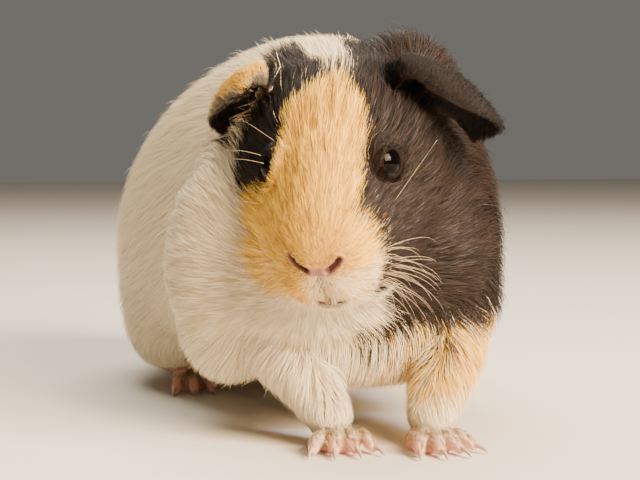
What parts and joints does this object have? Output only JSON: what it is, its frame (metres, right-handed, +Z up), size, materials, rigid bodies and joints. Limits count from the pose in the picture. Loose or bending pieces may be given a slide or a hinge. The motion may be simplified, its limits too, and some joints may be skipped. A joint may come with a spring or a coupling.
{
  "type": "guinea pig",
  "caption": "Short-haired guinea pig standing on all fours, head turned to its right, cream blaze between dark patches, white body.",
  "frame": {"origin": "on the floor, at the middle of the box's bottom", "axes": "+Z up, +Y from the head to the rump, +X to the animal's own left"},
  "size_m": [0.1063, 0.1981, 0.1157],
  "materials": {
    "cream_coat": "short fur",
    "chocolate_coat": "short fur",
    "white_coat": "short fur",
    "bare_skin": "thin bare skin",
    "claw": "horn",
    "eye": "wet gloss"
  },
  "bodies": {
    "root": {"nose": "bare_skin", "lower_jaw": "white_coat", "head": "cream_coat", "neck": "chocolate_coat", "chest": "white_coat", "trunk": "white_coat", "rump": "white_coat", "ear_left": "chocolate_coat", "ear_right": "cream_coat", "eye_left": "eye", "eye_right": "eye", "shoulder_left": "chocolate_coat", "shoulder_right": "white_coat", "foreleg_left": "cream_coat", "foreleg_right": "white_coat", "haunch_left": "white_coat", "haunch_right": "white_coat", "forefoot_left": "bare_skin", "forefoot_right": "bare_skin", "hindfoot_left": "bare_skin", "hindfoot_right": "bare_skin", "forefoot_left_toe_1": "bare_skin", "forefoot_left_claw_1": "claw", "forefoot_left_toe_2": "bare_skin", "forefoot_left_claw_2": "claw", "forefoot_left_toe_3": "bare_skin", "forefoot_left_claw_3": "claw", "forefoot_left_toe_4": "bare_skin", "forefoot_left_claw_4": "claw", "hindfoot_left_toe_1": "bare_skin", "hindfoot_left_claw_1": "claw", "hindfoot_left_toe_2": "bare_skin", "hindfoot_left_claw_2": "claw", "hindfoot_left_toe_3": "bare_skin", "hindfoot_left_claw_3": "claw", "forefoot_right_toe_1": "bare_skin", "forefoot_right_claw_1": "claw", "forefoot_right_toe_2": "bare_skin", "forefoot_right_claw_2": "claw", "forefoot_right_toe_3": "bare_skin", "forefoot_right_claw_3": "claw", "forefoot_right_toe_4": "bare_skin", "forefoot_right_claw_4": "claw", "hindfoot_right_toe_1": "bare_skin", "hindfoot_right_claw_1": "claw", "hindfoot_right_toe_2": "bare_skin", "hindfoot_right_claw_2": "claw", "hindfoot_right_toe_3": "bare_skin", "hindfoot_right_claw_3": "claw"}
  },
  "joints": []
}
